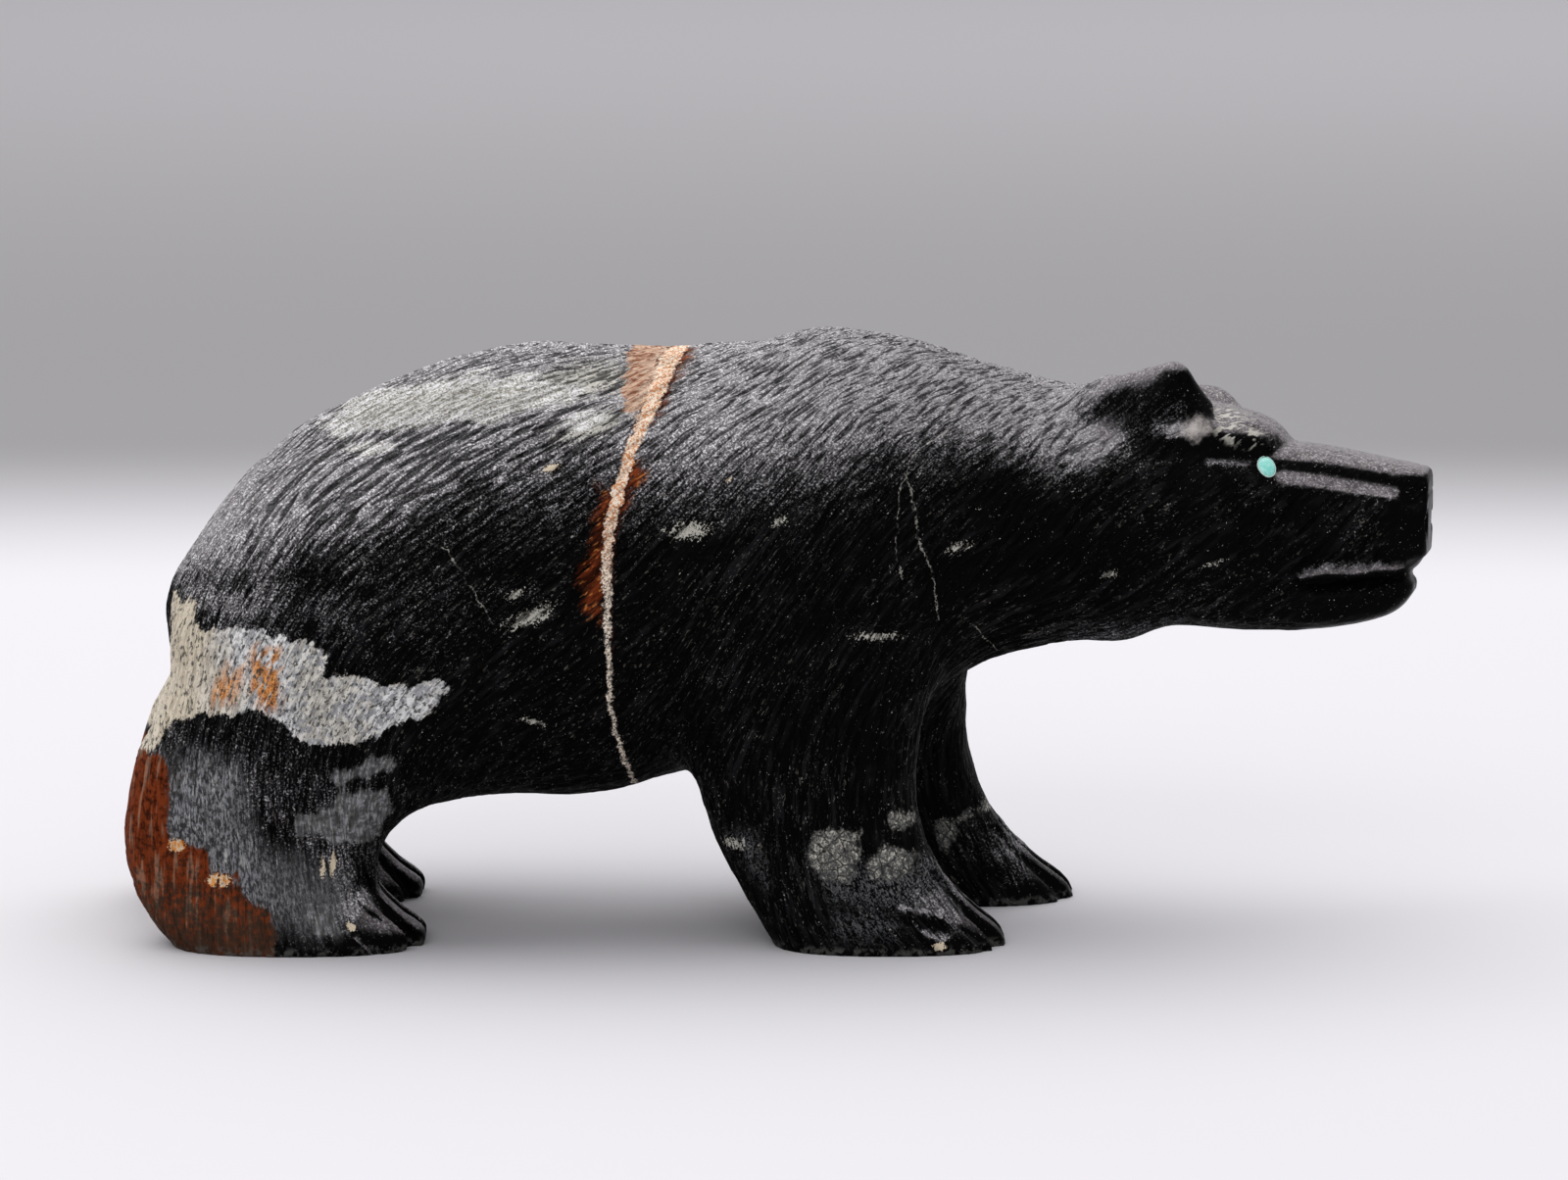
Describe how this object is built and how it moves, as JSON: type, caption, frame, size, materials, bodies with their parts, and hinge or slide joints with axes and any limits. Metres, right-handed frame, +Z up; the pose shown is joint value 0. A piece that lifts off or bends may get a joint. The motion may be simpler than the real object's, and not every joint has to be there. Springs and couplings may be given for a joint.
{
  "type": "carved stone bear fetish",
  "caption": "Walking bear carved from dark veined stone, with cut fur, claws and small ears, and turquoise eyes set in sockets. Stands on the flat soles of its feet.",
  "frame": {"origin": "on the ground, under the middle of the bear's bounding box", "axes": "+X towards the nose, +Y to the bear's left, +Z up"},
  "size_m": [0.1162, 0.0384, 0.0529],
  "materials": {
    "stone": "satin, with matt cut fur; dark grey to black, with cream, grey and rust veins and patches",
    "turquoise": "polished"
  },
  "bodies": {
    "root": {"bear_body": "stone", "eye_right": "turquoise", "eye_left": "turquoise"}
  },
  "joints": []
}
